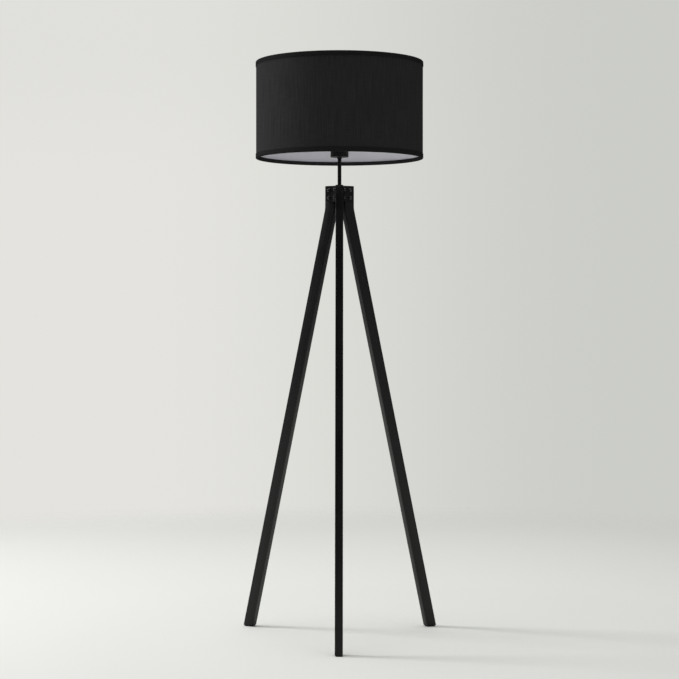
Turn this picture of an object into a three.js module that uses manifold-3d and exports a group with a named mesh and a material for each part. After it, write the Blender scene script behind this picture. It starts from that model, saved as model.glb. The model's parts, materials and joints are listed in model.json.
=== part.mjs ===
// Tripod floor lamp: three bolted wooden legs, a steel hub, a threaded tube, a lampholder and a drum shade.
// Millimetres, +Z up. The origin is on the floor, at the centre of the space the lamp takes up.
import * as THREE from "three";
import { mergeVertices } from "three/addons/utils/BufferGeometryUtils.js";
import Module from "manifold-3d";

const wasm = await Module();
wasm.setup();

// Overall sizes
const lampHeight = 1500;
const shadeHeight = 252;
const shadeDiameter = 436; // over the fabric
const footReach = 295.2; // from the lamp's axis to the outside of a foot
const stemShown = 70; // tube seen between the tripod's head and the shade

// Clearances
const contactGap = 0.3; // between pieces that touch
const threadGap = 0.3; // radial, between a nut and its screw
const slideGap = 0.6; // radial, between a part that is lifted off and what it goes round

// Legs
const legWidth = 20; // across, along a circle round the axis
const legDepth = 28; // square to the leg, in its own upright plane
const headHeight = 59; // upright top of a leg, above its bend
const padThickness = 2.5;
const padInset = 2; // from the leg's sides to the pad's sides
const nailRadius = 1.5;
const nailLength = 12;

// Hub bracket and its bolts
const wingThickness = 2.5;
const wingHeight = 40;
const wingDrop = 1.5; // from the top of the legs to the top of the wings
const wingSetback = 4.4; // from the outside of a head to the end of a wing
const wingCorner = 5;
const boltInset = 12.9; // from the outside of a head to the bolts
const boltSpacing = 20;
const boltRadius = 2.5;
const sleeveWall = 0.9;
const boltHeadOverlap = 0.6; // of a head past the edge of its hole
const boltHeadHeight = 2.6;
const hexSocketAcross = 3;
const hexSocketDepth = 1.6;
const webThickness = 4;

// Tube, nuts and washers
const tubeRadius = 5;
const tubeWall = 1.3;
const nutWall = 1.7; // between a nut's thread and its flats
const nutHeight = 5;
const spannerRoom = 2.3; // from a nut's corners to the legs
const washerOverlap = 1.3; // of a washer past a nut's corners
const washerThickness = 1.2;
const tubeTail = 12; // tube below the lower nut
const bushFlangeOverlap = 1.6; // of the bush's flange past the tube
const bushFlangeHeight = 2.6;
const bushLength = 9;
const bushWall = 0.6;

// Cup and lampholder
const cupRise = 4; // from the shade's lower edge up to the cup's flat underside
const cupRoom = 2.5; // radial, between the lampholder and the cup
const cupWall = 1;
const cupDepth = 40;
const neckHeight = 4;
const neckWall = 0.7;
const skirtWall = 4.8;
const skirtLength = 38;
const baseHeight = 20;
const baseWall = 2;
const baseBossWall = 3.2;
const baseBossHeight = 9;
const insertHeight = 6;
const shellWall = 0.8;
const shellLength = 26;
const contactRadius = 4;
const contactHeight = 3.4;
const terminalRadius = 2.2;
const terminalHeight = 3.2;
const terminalOffset = 9.5;
const ringOverhang = 5; // of the shade ring's flange past the cup
const ringFlangeHeight = 2;
const ringHubWall = 3.2;
const ringHeight = 8;

// Bulb
const capRadius = 13;
const capRoom = 1.1; // radial, between the cap's thread and the holder's shell
const capLength = 20;
const capWall = 0.8;
const threadPitch = 3.6;
const threadDepth = 0.7;
const insulatorHeight = 3.6;
const tipRadius = 4.6;
const tipHeight = 1.6;
const housingHeight = 36;
const housingNeckHeight = 5;
const housingSwell = 1.4; // of the housing's flank past a straight cone
const housingWall = 1.6;
const bulbRadius = 30;
const bulbLength = 108;
const globeWall = 1;

// Shade
const fabricThickness = 0.8;
const linerThickness = 0.5;
const hemThickness = 0.6;
const hemOutside = 12;
const hemInside = 10;
const wireRadius = 1.25;
const spokeRadius = 1.25;
const spokeBend = 16;
const spokeCount = 3;
const fitterOverhang = 5.5; // of the fitter ring past the cup
const fitterThickness = 1.5;

// Mesh fineness
const shadeSegments = 48;
const holderSegments = 24;
const bulbSegments = 24;
const boltSegments = 12;
const wireSides = 6;
const spokeSteps = 30;
const arcSegments = 6; // half the number of sides in a drilled hole

// Radii that follow from the sizes above
const threadHoleRadius = tubeRadius + threadGap;
const tubeBoreRadius = tubeRadius - tubeWall;
const nutFlatRadius = threadHoleRadius + nutWall;
const nutCornerRadius = nutFlatRadius / Math.cos(Math.PI / 6);
const headInside = nutCornerRadius + spannerRoom; // from the axis to the inside of a head
const headReach = headInside + legDepth;
const boltRadialPlace = headReach - boltInset;
const sleeveRadius = boltRadius + threadGap + sleeveWall;
const boltHoleRadius = sleeveRadius + contactGap;
const boltHeadRadius = boltHoleRadius + boltHeadOverlap;
const skirtBore = capRadius + capRoom + shellWall + contactGap;
const skirtRadius = skirtBore + skirtWall;
const cupRadius = skirtRadius + cupRoom + cupWall;
const fitterRadius = cupRadius + fitterOverhang;

// Heights and slopes that follow
const shadeBottom = lampHeight - shadeHeight;
const headTop = shadeBottom - stemShown;
const bendHeight = headTop - headHeight;
const legBottom = padThickness + contactGap;
const legSlope = (footReach - headReach) / (bendHeight - legBottom);
const legTilt = Math.atan(legSlope);
const legRun = legDepth / Math.cos(legTilt); // width of the slanted leg on a level cut
const wingTop = headTop - wingDrop;
const wingBottom = wingTop - wingHeight;
const boltHeights = [-0.5, 0.5].map((share) => (wingTop + wingBottom) / 2 + share * boltSpacing);
const webBottom = (wingTop + wingBottom - webThickness) / 2;
const cupBottom = shadeBottom + cupRise;
const cupTop = cupBottom + cupDepth;
const fitterBottom = cupTop + contactGap;
const lampAxisY = (footReach - shadeReach()) / 2; // origin midway between front foot and back of shade

const finishes = {
  blackWood: finish("#17171a", 0.55, 0),
  blackSteel: finish("#131315", 0.45, 0.6),
  bolt: finish("#3a3a3d", 0.35, 0.9),
  zincSteel: finish("#a9abad", 0.4, 0.9),
  whiteWire: finish("#e8e8e6", 0.5, 0.1),
  blackPlastic: finish("#161617", 0.5, 0),
  brass: finish("#b89b57", 0.35, 0.9),
  nickel: finish("#c3c2bd", 0.3, 0.9),
  rubber: finish("#101010", 0.9, 0),
  fabric: finish("#1b1b1d", 0.95, 0),
  liner: finish("#efeff1", 0.8, 0),
  opal: finish("#f4f3ef", 0.35, 0),
  whitePlastic: finish("#ececea", 0.4, 0),
};

function finish(color, roughness, metalness) {
  return { color, roughness, metalness };
}

// How far the shade's outermost edge band stands from the axis.
function shadeReach() {
  return shadeDiameter / 2 + contactGap + hemThickness;
}

// A named mesh with a material of its own.
function piece(name, geometry, look) {
  const mesh = new THREE.Mesh(geometry, new THREE.MeshStandardMaterial(look));
  mesh.name = name;
  return mesh;
}

// Turns a section of [radius, height] points, listed anticlockwise, about +Z. A section that doesn't start
// and end on the axis is closed into a ring.
function turned(section, segments) {
  const points = section.map(([radius, height]) => new THREE.Vector2(radius, height));
  const onAxis = section[0][0] === 0 && section.at(-1)[0] === 0;
  if (!onAxis) points.push(points[0].clone());
  return new THREE.LatheGeometry(points, segments).rotateX(Math.PI / 2);
}

function ringSection(inner, outer, low, high) {
  return [
    [inner, low],
    [outer, low],
    [outer, high],
    [inner, high],
  ];
}

function rod(radius, low, high, segments) {
  return turned(ringSection(0, radius, low, high), segments);
}

function collar(inner, outer, low, high, segments) {
  return turned(ringSection(inner, outer, low, high), segments);
}

// An outline in the XY plane, given a thickness upwards from a height.
function slab(outline, low, thickness, curveSegments) {
  const settings = { depth: thickness, bevelEnabled: false, curveSegments };
  return new THREE.ExtrudeGeometry(outline, settings).translate(0, 0, low);
}

// The same, for an outline drawn in the XZ plane and given its thickness along Y, centred on y.
function uprightSlab(outline, y, thickness, curveSegments) {
  return slab(outline, 0, thickness, curveSegments)
    .rotateX(Math.PI / 2)
    .translate(0, y + thickness / 2, 0);
}

function polygon(corners) {
  return new THREE.Shape(corners.map(([x, y]) => new THREE.Vector2(x, y)));
}

function regularPolygon(sides, inscribedRadius) {
  const radius = inscribedRadius / Math.cos(Math.PI / sides);
  const corners = Array.from({ length: sides }, (_, i) => {
    const angle = (2 * Math.PI * i) / sides;
    return [radius * Math.cos(angle), radius * Math.sin(angle)];
  });
  return polygon(corners);
}

function cutRound(outline, x, y, radius) {
  outline.holes.push(new THREE.Path().absarc(x, y, radius, 0, 2 * Math.PI, true));
  return outline;
}

function solid(geometry) {
  const bare = geometry.clone();
  bare.deleteAttribute("normal");
  bare.deleteAttribute("uv");
  const merged = mergeVertices(bare, 1e-3);
  const vertProperties = merged.attributes.position.array;
  const triVerts = new Uint32Array(merged.index.array);
  return new wasm.Manifold(new wasm.Mesh({ numProp: 3, vertProperties, triVerts }));
}

function geometryOf(shape) {
  const { numProp, numVert, vertProperties, triVerts } = shape.getMesh();
  const positions = new Float32Array(numVert * 3);
  for (let i = 0; i < numVert; i++) {
    positions.set(vertProperties.subarray(i * numProp, i * numProp + 3), i * 3);
  }
  const geometry = new THREE.BufferGeometry();
  geometry.setAttribute("position", new THREE.BufferAttribute(positions, 3));
  geometry.setIndex(new THREE.BufferAttribute(new Uint32Array(triVerts), 1));
  geometry.computeVertexNormals();
  return geometry;
}

function join(geometries) {
  return geometryOf(geometries.map(solid).reduce((sum, next) => sum.add(next)));
}

function cut(body, tools) {
  return geometryOf(tools.map(solid).reduce((rest, tool) => rest.subtract(tool), solid(body)));
}

// ---- Legs: in a leg's own frame X points outwards and Y is across the leg ----

function footCentre() {
  return footReach - legRun / 2;
}

function leg(name) {
  const innerBend = bendHeight - legDepth * Math.tan(legTilt / 2);
  const outline = polygon([
    [headInside, headTop],
    [headInside, innerBend],
    [footReach - legRun, legBottom],
    [footReach, legBottom],
    [headReach, bendHeight],
    [headReach, headTop],
  ]);
  for (const height of boltHeights) cutRound(outline, boltRadialPlace, height, boltHoleRadius);
  const bar = uprightSlab(outline, 0, legWidth, arcSegments);
  const nailTop = padThickness + nailLength + contactGap;
  const nailHole = rod(nailRadius + contactGap, -1, nailTop, boltSegments).translate(footCentre(), 0, 0);
  return piece(name, cut(bar, [nailHole]), finishes.blackWood);
}

function footPad(name) {
  const length = legRun - 2 * padInset;
  const width = legWidth - 2 * padInset;
  const plate = new THREE.BoxGeometry(length, width, padThickness).translate(0, 0, padThickness / 2);
  const nail = rod(nailRadius, padThickness / 2, padThickness + nailLength, boltSegments);
  const pad = piece(name, join([plate, nail]), finishes.rubber);
  pad.position.x = footCentre();
  return pad;
}

// The seat of a bolt head: the outer face of a wing, measured across the leg from its middle.
function headSeat() {
  return legWidth / 2 + contactGap + wingThickness + contactGap;
}

function hexSocket(top) {
  return slab(regularPolygon(6, hexSocketAcross / 2), top - hexSocketDepth, hexSocketDepth + 1, 1);
}

// Bolt along its own +Z, head on top. Its shank ends inside the sleeve nut.
function connectorBolt(name) {
  const seat = headSeat();
  const shankEnd = -seat + boltHeadHeight;
  const top = seat + boltHeadHeight;
  const section = [
    [0, shankEnd],
    [boltRadius, shankEnd],
    [boltRadius, seat],
    [boltHeadRadius, seat],
    [boltHeadRadius, seat + boltHeadHeight / 2],
    [boltHeadRadius * 0.8, top],
    [0, top],
  ];
  return piece(name, cut(turned(section, boltSegments), [hexSocket(top)]), finishes.bolt);
}

// Sleeve nut along its own +Z, head on top, open at the other end where the bolt enters.
function sleeveNut(name) {
  const seat = headSeat();
  const top = seat + boltHeadHeight;
  const mouth = -legWidth / 2 + contactGap;
  const bore = boltRadius + threadGap;
  const section = [
    [0, seat - boltHeadHeight / 2],
    [bore, seat - boltHeadHeight / 2],
    [bore, mouth],
    [sleeveRadius, mouth],
    [sleeveRadius, seat],
    [boltHeadRadius, seat],
    [boltHeadRadius, seat + boltHeadHeight / 2],
    [boltHeadRadius * 0.8, top],
    [0, top],
  ];
  return piece(name, cut(turned(section, boltSegments), [hexSocket(top)]), finishes.bolt);
}

function legGroup(side, azimuth) {
  const group = new THREE.Group();
  group.rotation.z = THREE.MathUtils.degToRad(azimuth);
  group.add(leg("leg_" + side), footPad("foot_pad_" + side));
  boltHeights.forEach((height, i) => {
    const level = i ? "upper" : "lower";
    const bolt = connectorBolt("leg_bolt_" + side + "_" + level);
    bolt.rotation.x = -Math.PI / 2; // head on the leg's anticlockwise side
    const nut = sleeveNut("sleeve_nut_" + side + "_" + level);
    nut.rotation.x = Math.PI / 2;
    for (const fastener of [bolt, nut]) {
      fastener.position.set(boltRadialPlace, 0, height);
      group.add(fastener);
    }
  });
  return group;
}

// ---- Hub bracket: wings along both sides of each head, joined by a web round the tube ----

function wing(side) {
  const start = (legWidth / 2 + contactGap) / Math.tan(Math.PI / 3);
  const reach = headReach - wingSetback;
  const outline = new THREE.Shape();
  outline.moveTo(start, wingBottom);
  outline.lineTo(reach - wingCorner, wingBottom);
  outline.absarc(reach - wingCorner, wingBottom + wingCorner, wingCorner, -Math.PI / 2, 0, false);
  outline.absarc(reach - wingCorner, wingTop - wingCorner, wingCorner, 0, Math.PI / 2, false);
  outline.lineTo(start, wingTop);
  for (const height of boltHeights) cutRound(outline, boltRadialPlace, height, boltHoleRadius);
  const middle = legWidth / 2 + contactGap + wingThickness / 2;
  return uprightSlab(outline, side * middle, wingThickness, arcSegments);
}

function hubWeb() {
  const flat = headInside - contactGap;
  const cornerReach = (legWidth / 2 + contactGap + wingThickness * 0.7) / Math.sin(Math.PI / 3);
  const halfCorner = (flat - cornerReach / 2) / Math.sin(Math.PI / 3);
  const corners = [];
  for (let i = 0; i < 3; i++) {
    const along = THREE.MathUtils.degToRad(30 + 120 * i);
    for (const across of [-halfCorner, halfCorner]) {
      corners.push([
        cornerReach * Math.cos(along) - across * Math.sin(along),
        cornerReach * Math.sin(along) + across * Math.cos(along),
      ]);
    }
  }
  return slab(cutRound(polygon(corners), 0, 0, threadHoleRadius), webBottom, webThickness, arcSegments);
}

function hubBracket() {
  const wings = legAzimuths.flatMap(({ azimuth }) =>
    [-1, 1].map((side) => wing(side).rotateZ(THREE.MathUtils.degToRad(azimuth))),
  );
  const web = hubWeb().rotateZ(THREE.MathUtils.degToRad(legAzimuths[0].azimuth + 30));
  return piece("hub_bracket", join([...wings, web]), finishes.blackSteel);
}

// ---- Tube and its fastenings, from the lower end up ----

function hexNut(name, low, height) {
  const outline = cutRound(regularPolygon(6, nutFlatRadius), 0, 0, threadHoleRadius);
  return piece(name, slab(outline, low, height, arcSegments), finishes.zincSteel);
}

function washer(name, low) {
  const radius = nutCornerRadius + washerOverlap;
  const ring = collar(threadHoleRadius, radius, low, low + washerThickness, holderSegments);
  return piece(name, ring, finishes.zincSteel);
}

function stemParts() {
  const webTop = webBottom + webThickness;
  const upperWasher = webTop + contactGap;
  const upperNut = upperWasher + washerThickness + contactGap;
  const lowerWasher = webBottom - contactGap - washerThickness;
  const lowerNut = lowerWasher - contactGap - nutHeight;
  const tubeBottom = lowerNut - tubeTail;
  const tubeTop = holderBaseBottom() + baseBossHeight;
  const bushRadius = tubeBoreRadius - contactGap;
  const bushSeat = tubeBottom - contactGap;
  const bushSection = [
    [bushRadius - bushWall, bushSeat - bushFlangeHeight],
    [tubeRadius + bushFlangeOverlap, bushSeat - bushFlangeHeight],
    [tubeRadius + bushFlangeOverlap, bushSeat],
    [bushRadius, bushSeat],
    [bushRadius, bushSeat + bushLength],
    [bushRadius - bushWall, bushSeat + bushLength],
  ];
  const tube = collar(tubeBoreRadius, tubeRadius, tubeBottom, tubeTop, holderSegments);
  return [
    piece("stem_tube", tube, finishes.blackSteel),
    piece("cable_outlet_bush", turned(bushSection, holderSegments), finishes.blackPlastic),
    washer("upper_washer", upperWasher),
    hexNut("upper_lock_nut", upperNut, nutHeight),
    washer("lower_washer", lowerWasher),
    hexNut("lower_lock_nut", lowerNut, nutHeight),
  ];
}

// ---- Cup and lampholder ----

function holderBaseBottom() {
  return cupBottom + cupWall + contactGap + nutHeight + contactGap;
}

function cup() {
  const neckTopRadius = threadHoleRadius + 2 * neckWall;
  const section = [
    [threadHoleRadius, cupBottom - neckHeight],
    [threadHoleRadius + neckWall, cupBottom - neckHeight],
    [neckTopRadius, cupBottom],
    [cupRadius, cupBottom],
    [cupRadius, cupTop],
    [cupRadius - cupWall, cupTop],
    [cupRadius - cupWall, cupBottom + cupWall],
    [threadHoleRadius, cupBottom + cupWall],
  ];
  return piece("holder_cup", turned(section, holderSegments), finishes.blackSteel);
}

function lampholder() {
  const baseBottom = holderBaseBottom();
  const baseTop = baseBottom + baseHeight;
  const bossTop = baseBottom + baseWall + baseBossHeight;
  const baseSection = [
    [threadHoleRadius, baseBottom],
    [skirtRadius, baseBottom],
    [skirtRadius, baseTop],
    [skirtRadius - baseWall, baseTop],
    [skirtRadius - baseWall, baseBottom + baseWall],
    [threadHoleRadius + baseBossWall, baseBottom + baseWall],
    [threadHoleRadius + baseBossWall, bossTop],
    [threadHoleRadius, bossTop],
  ];
  const skirtBottom = baseTop + contactGap;
  const skirt = collar(skirtBore, skirtRadius, skirtBottom, skirtBottom + skirtLength, holderSegments);
  const insertBottom = skirtBottom + contactGap;
  const insertRadius = skirtBore - contactGap;
  const insertTop = insertBottom + insertHeight;
  const insert = rod(insertRadius, insertBottom, insertTop, holderSegments);
  const shellLow = insertTop + contactGap;
  const shellBore = insertRadius - shellWall;
  const shell = collar(shellBore, insertRadius, shellLow, shellLow + shellLength, holderSegments);
  const contact = rod(contactRadius, shellLow, shellLow + contactHeight, boltSegments);
  const terminals = ["left", "right"].map((side, i) => {
    const top = insertBottom - contactGap;
    const shank = rod(terminalRadius, top - terminalHeight, top, boltSegments);
    const screw = piece("terminal_screw_" + side, shank, finishes.brass);
    screw.position.x = i ? terminalOffset : -terminalOffset;
    return screw;
  });
  return [
    hexNut("cup_lock_nut", cupBottom + cupWall + contactGap, nutHeight),
    piece("holder_base", turned(baseSection, holderSegments), finishes.blackPlastic),
    piece("holder_skirt", skirt, finishes.blackPlastic),
    piece("holder_insert", insert, finishes.whitePlastic),
    piece("shell_contact", shell, finishes.nickel),
    piece("centre_contact", contact, finishes.brass),
    ...terminals,
  ];
}

// The lampholder's centre contact, on which the bulb's tip rests.
function contactTop() {
  return holderBaseBottom() + baseHeight + 3 * contactGap + insertHeight + contactHeight;
}

function shadeRing() {
  const low = fitterBottom + fitterThickness + contactGap;
  const bore = skirtRadius + threadGap;
  const flangeRadius = cupRadius + ringOverhang;
  const section = [
    [bore, low],
    [flangeRadius, low],
    [flangeRadius, low + ringFlangeHeight],
    [bore + ringHubWall, low + ringFlangeHeight],
    [bore + ringHubWall, low + ringHeight],
    [bore, low + ringHeight],
  ];
  return piece("shade_ring", turned(section, holderSegments), finishes.blackPlastic);
}

// ---- Bulb, from its tip up ----

// A screw cap's ridged wall, from its lower end to its upper end: a crest and a root for each pitch.
function threadRidges(radius, low, high) {
  const steps = 2 * Math.round((high - low) / threadPitch);
  return Array.from({ length: steps + 1 }, (_, i) => {
    return [radius - (i % 2) * threadDepth, low + ((high - low) * i) / steps];
  });
}

function bulb() {
  const tipLow = contactTop() + contactGap;
  const insulatorLow = tipLow + tipHeight + contactGap;
  const capLow = insulatorLow + insulatorHeight + contactGap;
  const capHigh = capLow + capLength;
  const capInside = capRadius - threadDepth - capWall;
  const capSection = [
    [0, capLow],
    [capRadius - 2 * capWall, capLow],
    ...threadRidges(capRadius, capLow + capWall, capHigh),
    [capInside, capHigh],
    [capInside, capLow + 2 * capWall],
    [0, capLow + 2 * capWall],
  ];
  const insulatorSection = [
    [0, insulatorLow],
    [tipRadius, insulatorLow],
    [capRadius - 3 * capWall, insulatorLow + insulatorHeight],
    [0, insulatorLow + insulatorHeight],
  ];
  const housingLow = capHigh + contactGap;
  const housingHigh = housingLow + housingHeight;
  const rimRadius = bulbRadius - globeWall;
  const neckRadius = skirtBore - slideGap;
  const shoulder = housingLow + housingNeckHeight;
  const waist = (shoulder + housingHigh) / 2;
  const waistRadius = (neckRadius + rimRadius) / 2 + housingSwell;
  const housingSection = [
    [0, housingLow],
    [neckRadius, housingLow],
    [neckRadius, shoulder],
    [waistRadius, waist],
    [rimRadius, housingHigh],
    [rimRadius - housingWall, housingHigh],
    [waistRadius - housingWall, waist],
    [neckRadius - housingWall, shoulder],
    [0, shoulder],
  ];
  const globeLow = housingHigh + contactGap;
  const globeHeight = tipLow + bulbLength - globeLow;
  const globeSection = domeSection(rimRadius, globeLow, globeHeight);
  return [
    piece("bulb_tip_contact", rod(tipRadius, tipLow, tipLow + tipHeight, bulbSegments), finishes.brass),
    piece("bulb_insulator", turned(insulatorSection, bulbSegments), finishes.blackPlastic),
    piece("bulb_screw_cap", turned(capSection, bulbSegments), finishes.nickel),
    piece("bulb_housing", turned(housingSection, bulbSegments), finishes.whitePlastic),
    piece("bulb_globe", turned(globeSection, bulbSegments), finishes.opal),
  ];
}

// The globe's hollow dome, widest a little above its open rim.
function domeSection(rim, low, height) {
  const bulge = Math.acos(rim / bulbRadius);
  const steps = 9;
  const profile = (shrink) =>
    Array.from({ length: steps + 1 }, (_, i) => {
      const angle = -bulge + ((Math.PI / 2 + bulge) * i) / steps;
      const share = (Math.sin(angle) + Math.sin(bulge)) / (1 + Math.sin(bulge));
      const radius = i === steps ? 0 : (bulbRadius - shrink) * Math.cos(angle);
      return [radius, low + (height - shrink) * share];
    });
  return [...profile(globeWall).reverse(), ...profile(0)];
}

// ---- Shade ----

const fabricOutside = shadeDiameter / 2;
const linerOutside = fabricOutside - fabricThickness - contactGap;
const linerInside = linerOutside - linerThickness;
const wireCircle = linerInside - contactGap - wireRadius;
const hemInner = wireCircle - wireRadius - contactGap;

function shadeSkin(name, outside, thickness, look) {
  const margin = hemThickness + contactGap;
  const skin = collar(outside - thickness, outside, shadeBottom + margin, lampHeight - margin, shadeSegments);
  return piece(name, skin, look);
}

// An edge band folded round the wire: outside leg, fold and inside leg. The fold is at the edge's height.
function hem(name, edge, inwards) {
  const outside = shadeReach();
  const section = [
    [hemInner - hemThickness, edge],
    [outside, edge],
    [outside, edge + inwards * hemOutside],
    [outside - hemThickness, edge + inwards * hemOutside],
    [outside - hemThickness, edge + inwards * hemThickness],
    [hemInner, edge + inwards * hemThickness],
    [hemInner, edge + inwards * hemInside],
    [hemInner - hemThickness, edge + inwards * hemInside],
  ];
  const anticlockwise = inwards > 0 ? section : section.toReversed();
  return piece(name, turned(anticlockwise, shadeSegments), finishes.fabric);
}

function wireHeight(edge, inwards) {
  return edge + inwards * (hemThickness + contactGap + wireRadius);
}

function wireRing(edge, inwards) {
  const section = Array.from({ length: wireSides }, (_, i) => {
    const angle = (2 * Math.PI * i) / wireSides;
    return [
      wireCircle + wireRadius * Math.cos(angle),
      wireHeight(edge, inwards) + wireRadius * Math.sin(angle),
    ];
  });
  return turned(section, shadeSegments);
}

// A wire that rises from the lower ring along the lining, bends, and runs level to the fitter ring.
function spoke(azimuth) {
  const level = fitterBottom + fitterThickness - spokeRadius / Math.cos(Math.PI / wireSides);
  const inner = (fitterRadius + cupRadius) / 2;
  const path = new THREE.CurvePath();
  const foot = new THREE.Vector3(wireCircle, 0, wireHeight(shadeBottom, 1));
  const bendStart = new THREE.Vector3(wireCircle, 0, level - spokeBend);
  const corner = new THREE.Vector3(wireCircle, 0, level);
  const bendEnd = new THREE.Vector3(wireCircle - spokeBend, 0, level);
  path.add(new THREE.LineCurve3(foot, bendStart));
  path.add(new THREE.QuadraticBezierCurve3(bendStart, corner, bendEnd));
  path.add(new THREE.LineCurve3(bendEnd, new THREE.Vector3(inner, 0, level)));
  const section = regularPolygon(wireSides, spokeRadius);
  const settings = { steps: spokeSteps, bevelEnabled: false, extrudePath: path };
  return new THREE.ExtrudeGeometry(section, settings).rotateZ(azimuth);
}

function spider() {
  const bore = skirtRadius + slideGap;
  const fitterTop = fitterBottom + fitterThickness;
  const parts = [
    wireRing(shadeBottom, 1),
    collar(bore, fitterRadius, fitterBottom, fitterTop, holderSegments),
  ];
  for (let i = 0; i < spokeCount; i++) parts.push(spoke(Math.PI / 2 + (2 * Math.PI * i) / spokeCount));
  return piece("shade_spider", join(parts), finishes.whiteWire);
}

function shade() {
  return [
    shadeSkin("shade_fabric", fabricOutside, fabricThickness, finishes.fabric),
    shadeSkin("shade_liner", linerOutside, linerThickness, finishes.liner),
    hem("hem_bottom", shadeBottom, 1),
    hem("hem_top", lampHeight, -1),
    piece("shade_top_wire", wireRing(lampHeight, -1), finishes.whiteWire),
    spider(),
  ];
}

// ---- The lamp ----

const legAzimuths = [
  { side: "front", azimuth: -90 },
  { side: "right", azimuth: 30 },
  { side: "left", azimuth: 150 },
];

const lamp = new THREE.Group();
lamp.position.y = lampAxisY;
for (const { side, azimuth } of legAzimuths) lamp.add(legGroup(side, azimuth));
lamp.add(hubBracket(), ...stemParts(), cup(), ...lampholder(), shadeRing(), ...bulb(), ...shade());

export default lamp;
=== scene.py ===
import json
import math

import bmesh
import bpy
from mathutils import Matrix, Vector, noise


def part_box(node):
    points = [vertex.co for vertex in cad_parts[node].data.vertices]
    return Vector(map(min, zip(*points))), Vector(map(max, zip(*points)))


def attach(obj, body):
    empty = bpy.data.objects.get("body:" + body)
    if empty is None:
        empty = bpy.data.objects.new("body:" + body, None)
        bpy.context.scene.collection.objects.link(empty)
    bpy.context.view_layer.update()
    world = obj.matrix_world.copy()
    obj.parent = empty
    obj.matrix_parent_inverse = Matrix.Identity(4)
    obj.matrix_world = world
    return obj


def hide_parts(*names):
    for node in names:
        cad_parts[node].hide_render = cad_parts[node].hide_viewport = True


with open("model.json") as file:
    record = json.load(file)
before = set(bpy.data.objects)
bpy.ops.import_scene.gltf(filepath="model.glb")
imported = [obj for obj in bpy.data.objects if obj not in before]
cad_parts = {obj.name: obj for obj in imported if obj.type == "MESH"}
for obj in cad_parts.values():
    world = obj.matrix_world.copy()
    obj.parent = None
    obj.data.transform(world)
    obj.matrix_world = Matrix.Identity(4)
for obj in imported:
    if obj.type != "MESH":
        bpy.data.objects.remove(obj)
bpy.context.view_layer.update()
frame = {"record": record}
scene = bpy.context.scene
scene.view_settings.view_transform = "Standard"

bodyOf = {node: body for body, nodes in frame["record"]["behaviour"]["bodies"].items() for node in nodes}
fabricLow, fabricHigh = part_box("shade_fabric")
axis = Vector(((fabricLow.x + fabricHigh.x) / 2, (fabricLow.y + fabricHigh.y) / 2, 0))
onAxis = Matrix.Translation(axis)  # everything round is made about the lamp's axis

# Camera

viewpoint = {"distance": 4.6615, "height": 0.844, "around": 0.35, "down": 0.835, "lens": 94.44}


def addCamera(look):
    camera = bpy.data.objects.new("camera", bpy.data.cameras.new("camera"))
    scene.collection.objects.link(camera)
    around = math.radians(look["around"])
    camera.location = axis + look["distance"] * Vector((math.sin(around), -math.cos(around), 0))
    camera.location.z = look["height"]
    camera.rotation_euler = (math.radians(90 - look["down"]), 0, around)
    camera.data.lens = look["lens"]
    camera.data.clip_end = 60
    scene.camera = camera


addCamera(viewpoint)
print("camera in place")

# Shader maths: a Wire is a socket that can be added, multiplied and so on


class Wire:
    def __init__(self, tree, socket=None):
        self.tree = tree
        self.socket = socket

    def node(self, kind, settings=None, inputs=None, output=0):
        made = self.tree.nodes.new(kind)
        for key, value in (settings or {}).items():
            setattr(made, key, value)
        for key, value in (inputs or {}).items():
            if isinstance(value, Wire):
                self.tree.links.new(value.socket, made.inputs[key])
            else:
                made.inputs[key].default_value = value
        return Wire(self.tree, made.outputs[output])

    def out(self, name):  # another output of the same node
        return Wire(self.tree, self.socket.node.outputs[name])

    def maths(self, operation, first, second=0.0):
        return self.node("ShaderNodeMath", {"operation": operation}, {0: first, 1: second})

    def __add__(self, other):
        return self.maths("ADD", self, other)

    def __radd__(self, other):
        return self.maths("ADD", other, self)

    def __sub__(self, other):
        return self.maths("SUBTRACT", self, other)

    def __rsub__(self, other):
        return self.maths("SUBTRACT", other, self)

    def __mul__(self, other):
        return self.maths("MULTIPLY", self, other)

    def __rmul__(self, other):
        return self.maths("MULTIPLY", other, self)

    def ramp(self, low, high, toLow=0.0, toHigh=1.0, smooth=True):
        settings = {"interpolation_type": "SMOOTHSTEP" if smooth else "LINEAR"}
        inputs = {"Value": self, "From Min": low, "From Max": high, "To Min": toLow, "To Max": toHigh}
        return self.node("ShaderNodeMapRange", settings, inputs)

    def between(self, low, high):  # the low colour where the value is 0, the high colour where it is 1
        return self.node("ShaderNodeMix", {"data_type": "RGBA"}, {0: self, 6: low, 7: high}, 2)

    def tint(self, low, high):
        return self.between((*low, 1), (*high, 1))

    def scaled(self, x, y, z):
        return self.node("ShaderNodeVectorMath", {"operation": "MULTIPLY"}, {0: self, 1: (x, y, z)})

    def cloud(self, scale, detail, roughness):  # noise at this vector, about 0.5
        inputs = {"Vector": self, "Scale": scale, "Detail": detail, "Roughness": roughness}
        return self.node("ShaderNodeTexNoise", None, inputs)

    def bump(self, distance, strength):  # metres of relief where the value is 1
        return self.node("ShaderNodeBump", None, {"Height": self, "Distance": distance, "Strength": strength})


def newMaterial(name, fixed):
    made = bpy.data.materials.new(name)
    made.use_nodes = True
    shader = made.node_tree.nodes["Principled BSDF"]
    for socket, value in fixed.items():
        shader.inputs[socket].default_value = value
    return made, Wire(made.node_tree)


def wire(made, **links):  # links go to the main shader: Base_Color stands for "Base Color"
    shader = made.node_tree.nodes["Principled BSDF"]
    for name, value in links.items():
        made.node_tree.links.new(value.socket, shader.inputs[name.replace("_", " ")])
    return made


def ownPlace(w):  # where a point is on its piece, in the way that the piece was made
    return w.node("ShaderNodeAttribute", {"attribute_name": "own"}, output="Vector")


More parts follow.
